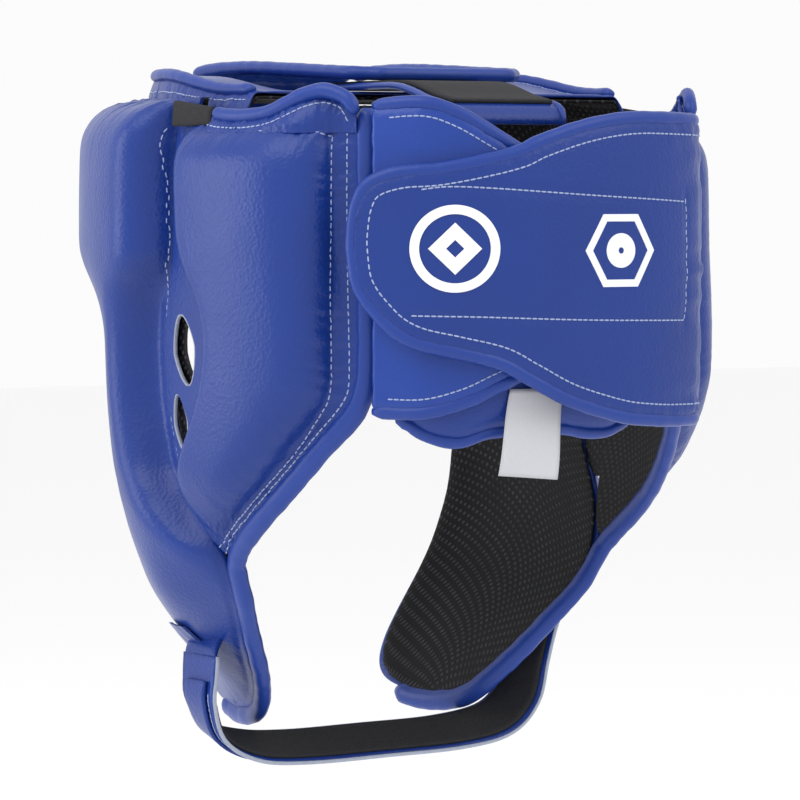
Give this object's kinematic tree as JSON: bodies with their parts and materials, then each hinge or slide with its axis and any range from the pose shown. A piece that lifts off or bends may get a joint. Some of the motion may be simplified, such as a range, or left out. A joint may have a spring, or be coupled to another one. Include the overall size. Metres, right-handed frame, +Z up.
{
  "type": "boxing headgear",
  "caption": "Padded blue leather boxing headgear with a two-flap rear wrap closure, crown flaps, open ear panels, mesh lining and a chin strap.",
  "frame": {"origin": "middle of the wearer's head, level with the ears", "axes": "+Z up, the wearer faces -Y, +X is the wearer's left"},
  "size_m": [0.2298, 0.2714, 0.2749],
  "materials": {
    "blue_leather": "coated, softly glossy, fine grain",
    "blue_binding": "coated, softly glossy, turned over the edge",
    "black_mesh": "dimpled knitted mesh, matt",
    "black_hook_tape": "hook tape, matt",
    "black_loop_tape": "brushed loop tape, matt",
    "grey_foam": "closed-cell foam, matt",
    "white_print": "plain white printed film",
    "white_satin": "woven satin label, blank"
  },
  "bodies": {
    "shell": {"chin_catch_patch": "black_hook_tape", "chin_strap_anchor": "blue_leather", "forehead_cover": "blue_leather", "forehead_foam": "grey_foam", "forehead_lining": "black_mesh", "left_cheek_cover": "blue_leather", "left_cheek_foam": "grey_foam", "left_cheek_lining": "black_mesh", "left_ear_lining": "black_mesh", "left_ear_panel": "blue_leather", "left_edge_roll": "blue_binding", "left_rear_pad_cover": "blue_leather", "left_rear_pad_foam": "grey_foam", "left_rear_pad_lining": "black_mesh", "right_cheek_cover": "blue_leather", "right_cheek_foam": "grey_foam", "right_cheek_lining": "black_mesh", "right_ear_lining": "black_mesh", "right_ear_panel": "blue_leather", "right_edge_roll": "blue_binding", "right_rear_pad_cover": "blue_leather", "right_rear_pad_foam": "grey_foam", "right_rear_pad_lining": "black_mesh"},
    "over_flap": {"over_flap_backing": "blue_leather", "over_flap_badge_root": "white_print", "over_flap_badge_tip": "white_print", "over_flap_cover": "blue_leather", "over_flap_edge_roll": "blue_binding", "over_flap_hook_patch": "black_hook_tape"},
    "under_flap": {"under_flap_backing": "blue_leather", "under_flap_cover": "blue_leather", "under_flap_edge_roll": "blue_binding", "under_flap_loop_patch": "black_loop_tape"},
    "nape_pad": {"nape_pad_cover": "blue_leather", "nape_pad_foam": "grey_foam", "nape_pad_lining": "black_mesh"},
    "size_label": {"size_label": "white_satin"},
    "front_crown_flap": {"front_crown_flap_cover": "blue_leather", "front_crown_flap_hook_patch": "black_hook_tape"},
    "crown_strap": {"crown_strap": "blue_leather", "crown_strap_loop_patch": "black_loop_tape"},
    "left_crown_flap": {"left_crown_flap_cover": "blue_leather", "left_crown_flap_lining": "black_mesh"},
    "right_crown_flap": {"right_crown_flap_cover": "blue_leather", "right_crown_flap_lining": "black_mesh"},
    "chin_strap": {"chin_strap": "blue_leather", "chin_strap_keeper": "blue_leather", "chin_strap_loop_tape": "black_loop_tape"}
  },
  "joints": [
    {"name": "over_flap_hinge", "type": "hinge", "parent": "shell", "child": "over_flap", "pos_m": [-0.0701, 0.0965, 0.047], "axis": [0, 0, 1], "range_deg": [0, 110]},
    {"name": "under_flap_hinge", "type": "hinge", "parent": "shell", "child": "under_flap", "pos_m": [0.0701, 0.0965, 0.047], "axis": [0, 0, 1], "range_deg": [-44, 0]},
    {"name": "nape_pad_hinge", "type": "hinge", "parent": "shell", "child": "nape_pad", "pos_m": [0, 0.1143, 0.092], "axis": [1, 0, 0], "range_deg": [-20, 0]},
    {"name": "size_label_hinge", "type": "hinge", "parent": "nape_pad", "child": "size_label", "pos_m": [0.0192, 0.1215, 0.004], "axis": [1, 0, 0], "range_deg": [0, 35]},
    {"name": "front_crown_flap_hinge", "type": "hinge", "parent": "shell", "child": "front_crown_flap", "pos_m": [0, -0.0994, 0.1185], "axis": [1, 0, 0], "range_deg": [0, 110]},
    {"name": "crown_strap_hinge", "type": "hinge", "parent": "shell", "child": "crown_strap", "pos_m": [0.02, 0.1042, 0.101], "axis": [1, 0, 0], "range_deg": [-44, 0]},
    {"name": "left_crown_flap_hinge", "type": "hinge", "parent": "shell", "child": "left_crown_flap", "pos_m": [0.0875, -0.0202, 0.104], "axis": [0, 1, 0], "range_deg": [0, 22]},
    {"name": "right_crown_flap_hinge", "type": "hinge", "parent": "shell", "child": "right_crown_flap", "pos_m": [-0.0875, -0.0202, 0.104], "axis": [0, 1, 0], "range_deg": [-22, 0]},
    {"name": "chin_strap_hinge", "type": "hinge", "parent": "shell", "child": "chin_strap", "pos_m": [0.0798, -0.02, -0.1036], "axis": [0, 1, 0], "range_deg": [-80, 0]}
  ],
  "couplings": [
    {"joint": "under_flap_hinge", "follows": "over_flap_hinge", "ratio": -0.4},
    {"joint": "crown_strap_hinge", "follows": "front_crown_flap_hinge", "ratio": -0.4},
    {"joint": "left_crown_flap_hinge", "follows": "front_crown_flap_hinge", "ratio": 0.2},
    {"joint": "right_crown_flap_hinge", "follows": "front_crown_flap_hinge", "ratio": -0.2}
  ]
}
